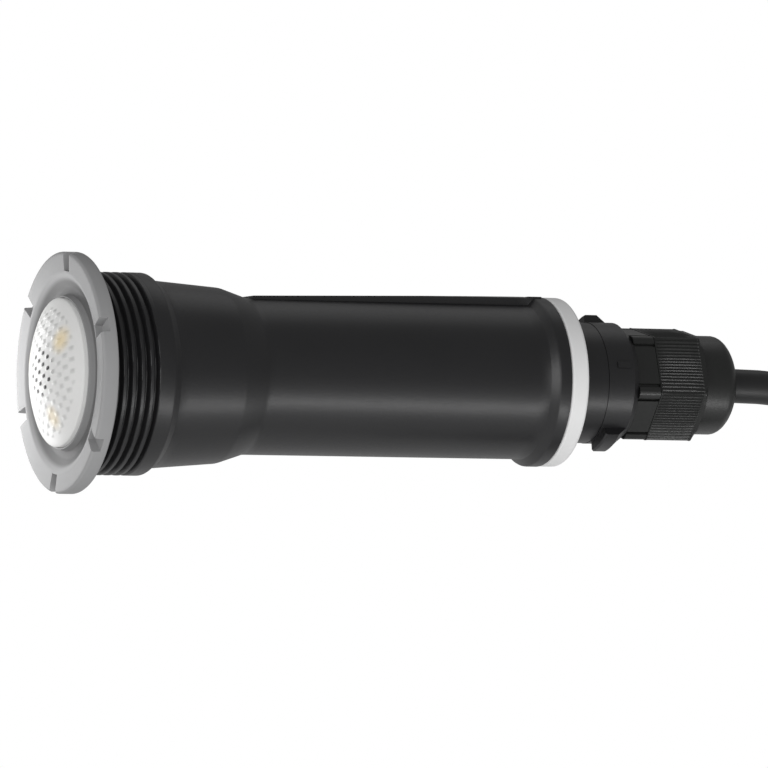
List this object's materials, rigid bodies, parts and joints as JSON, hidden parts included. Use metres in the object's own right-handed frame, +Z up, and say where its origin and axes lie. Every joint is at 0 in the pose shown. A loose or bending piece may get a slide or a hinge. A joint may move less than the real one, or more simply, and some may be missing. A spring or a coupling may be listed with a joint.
{
  "type": "underwater pool light",
  "caption": "Pipe-thread pool light: notched bezel, domed prismatic lens, threaded body, ring gasket, bayonet collar, cable gland with a turning nut and a coiled lead.",
  "frame": {"origin": "on the pipe thread's axis, at the back face of the bezel's flange, where the wall fitting's rim lies", "axes": "+X along the axis from the lens to the cable, +Z up, -Y to the light's near side"},
  "size_m": [0.2676, 0.0574, 0.2755],
  "materials": {
    "grey_plastic": "satin light grey ABS",
    "clear_lens": "clear prismatic polycarbonate",
    "black_plastic": "satin black glass-filled nylon",
    "white_rubber": "off-white silicone",
    "black_rubber": "matt black nitrile",
    "gland_plastic": "satin black nylon",
    "aluminium": "turned and milled",
    "led_pcb": "white solder mask",
    "phosphor": "LED phosphor",
    "steel": "stainless",
    "pad": "silicone pad",
    "tray_plastic": "natural grey nylon",
    "driver_pcb": "green solder mask",
    "chip": "epoxy",
    "can": "sleeved can",
    "ferrite": "ferrite",
    "copper": "enamelled copper",
    "terminal": "green nylon",
    "cable_jacket": "black rubber cable jacket",
    "core_sheath": "core insulation, brown and blue",
    "lead_sheath": "wire insulation, red and black",
    "tinned": "tinned copper"
  },
  "bodies": {
    "housing": {"bezel_o_ring": "black_rubber", "bezel_ring": "grey_plastic", "body_shell": "black_plastic", "bridge_rectifier": "chip", "buck_inductor": "ferrite", "cable_coil": "cable_jacket", "cable_end_cores": "core_sheath", "cable_inner": "cable_jacket", "cable_lead": "cable_jacket", "cable_tail": "cable_jacket", "coil_tie": "gland_plastic", "core_ferrules": "tinned", "driver_board": "driver_pcb", "driver_chips": "chip", "driver_tray": "tray_plastic", "gland_body": "gland_plastic", "gland_o_ring": "black_rubber", "gland_seal": "black_rubber", "heat_sink": "aluminium", "inductor_winding": "copper", "inner_cores": "core_sheath", "led_board": "led_pcb", "led_board_screws": "steel", "led_emitters": "phosphor", "led_leads": "lead_sheath", "lens": "clear_lens", "lens_gasket": "black_rubber", "lens_retainer": "black_plastic", "rear_cap": "black_plastic", "rear_cap_o_ring": "black_rubber", "seat_gasket": "white_rubber", "smoothing_capacitors": "can", "terminal_block": "terminal", "thermal_pad": "pad", "tray_screws": "steel"},
    "collar": {"bayonet_collar": "black_plastic"},
    "washer": {"gland_washer": "steel"},
    "nut": {"gland_nut": "gland_plastic"}
  },
  "joints": [
    {"name": "collar_turn", "type": "hinge", "parent": "housing", "child": "collar", "pos_m": [0.135, 0, 0], "axis": [1, 0, 0], "range_deg": [0, 60]},
    {"name": "washer_slide", "type": "slide", "parent": "housing", "child": "washer", "axis": [1, 0, 0], "range_m": [0, 0.003]},
    {"name": "nut_turn", "type": "hinge", "parent": "washer", "child": "nut", "pos_m": [0.15, 0, 0], "axis": [1, 0, 0], "range_deg": [0, 720]}
  ],
  "couplings": [
    {"joint": "washer_slide", "follows": "nut_turn", "m_per_rad": 0.00023873}
  ]
}
